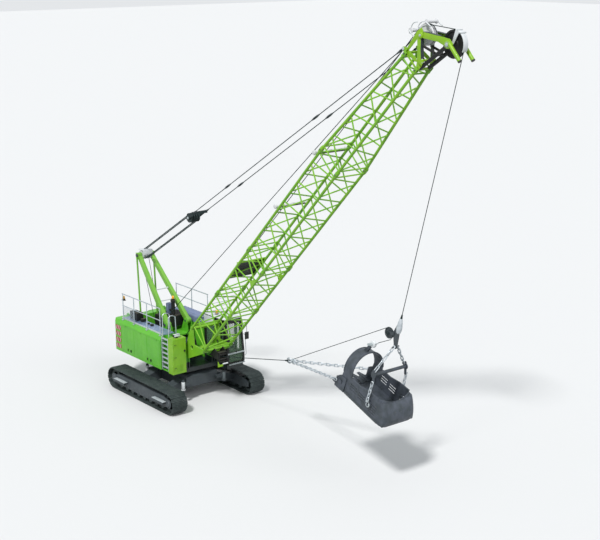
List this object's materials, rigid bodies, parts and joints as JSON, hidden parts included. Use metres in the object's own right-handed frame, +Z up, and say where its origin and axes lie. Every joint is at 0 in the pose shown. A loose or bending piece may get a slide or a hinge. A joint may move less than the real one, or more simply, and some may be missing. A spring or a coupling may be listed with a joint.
{
  "type": "cable excavator",
  "caption": "Crawler cable excavator with a lattice boom, rigged as a dragline: slewing house with cab, winches and gantry, and a drag bucket hung on hoist and drag lines.",
  "frame": {"origin": "on the ground, on the axis about which the house slews", "axes": "+X forward along the boom, +Y to the machine's left (cab side), +Z up along the slewing axis"},
  "size_m": [18.6909, 4.7206, 15.5639],
  "materials": {
    "green_paint": "satin",
    "dark_steel": "matte",
    "track_steel": "matte",
    "worn_steel": "worn",
    "grey_paint": "satin",
    "light_grey": "satin",
    "bright_metal": "satin",
    "blue_grey_paint": "satin",
    "wire_rope": "matte",
    "white_nylon": "matte",
    "amber_plastic": "gloss",
    "seat_fabric": "matte",
    "pane_glass": "gloss"
  },
  "bodies": {
    "undercarriage": {"carbody": "grey_paint", "track_right": "track_steel", "track_left": "track_steel", "track_wheels_right": "dark_steel", "track_wheels_left": "dark_steel", "track_frame_right": "green_paint", "track_frame_left": "green_paint"},
    "upper": {"slew_ring": "dark_steel", "deck": "green_paint", "counterweight": "green_paint", "house_right": "green_paint", "engine": "dark_steel", "house_left": "green_paint", "hood": "blue_grey_paint", "front_box": "green_paint", "ladder": "bright_metal", "railings": "bright_metal", "walkway": "bright_metal", "winches": "dark_steel", "gantry_legs": "green_paint", "gantry_struts": "green_paint", "gantry_sheaves": "dark_steel", "exhaust": "dark_steel", "lamps": "amber_plastic", "cab_body": "green_paint", "cab_seat": "seat_fabric", "cab_glass": "pane_glass"},
    "side_door": {"side_door": "green_paint"},
    "front_box_door": {"front_box_door": "green_paint"},
    "cab_door": {"cab_door": "green_paint", "cab_door_glass": "pane_glass"},
    "boom": {"boom_foot": "green_paint", "boom_section_1": "green_paint", "boom_section_2": "green_paint", "boom_top": "green_paint", "boom_head": "green_paint", "head_struts": "dark_steel", "head_sheaves": "white_nylon", "point_sheave": "green_paint", "guide_rollers": "worn_steel", "rope_guard": "dark_steel", "fairlead": "worn_steel", "pendants": "wire_rope", "bridle": "green_paint", "reeving_ropes": "wire_rope", "hoist_rope": "wire_rope", "hanger": "worn_steel", "spreader": "worn_steel", "hoist_chains": "worn_steel"},
    "bucket": {"bucket": "green_paint", "bucket_teeth": "worn_steel"},
    "drag_chains": {"drag_chains": "worn_steel"},
    "drag_rope": {"drag_rope": "wire_rope"}
  },
  "joints": [
    {"name": "slew", "type": "hinge", "parent": "undercarriage", "child": "upper", "pos_m": [0, 0, 1.1], "axis": [0, 0, 1], "continuous": true},
    {"name": "boom_luff", "type": "hinge", "parent": "upper", "child": "boom", "pos_m": [1.03, 0, 1.85], "axis": [0, -1, 0], "range_deg": [-11.5, 32.6], "deforming": ["reeving_ropes"]},
    {"name": "bucket_dump", "type": "hinge", "parent": "boom", "child": "bucket", "pos_m": [12.15, 0, 3.02], "axis": [0, -1, 0], "range_deg": [-5, 50]},
    {"name": "drag_chain_swing", "type": "hinge", "parent": "bucket", "child": "drag_chains", "pos_m": [10.58223, 0, 3.51163], "axis": [0, -1, 0], "range_deg": [-65, 7]},
    {"name": "drag_rope_swing", "type": "hinge", "parent": "drag_chains", "child": "drag_rope", "pos_m": [7.05, 0, 3.08], "axis": [0, -1, 0], "range_deg": [-1, 9]},
    {"name": "cab_door", "type": "hinge", "parent": "upper", "child": "cab_door", "pos_m": [0.454, 1.638, 2.3], "axis": [0, 0, 1], "range_deg": [0, 100]},
    {"name": "front_box_door", "type": "hinge", "parent": "upper", "child": "front_box_door", "pos_m": [1.3443, -1.442, 2], "axis": [0, 0, -1], "range_deg": [0, 110]},
    {"name": "side_door", "type": "hinge", "parent": "upper", "child": "side_door", "pos_m": [-1.15, -1.444, 2.49], "axis": [-1, 0, 0], "range_deg": [0, 80]}
  ],
  "couplings": [
    {"joint": "drag_chain_swing", "follows": "bucket_dump", "ratio": -1.287},
    {"joint": "drag_rope_swing", "follows": "bucket_dump", "ratio": 0.16}
  ]
}
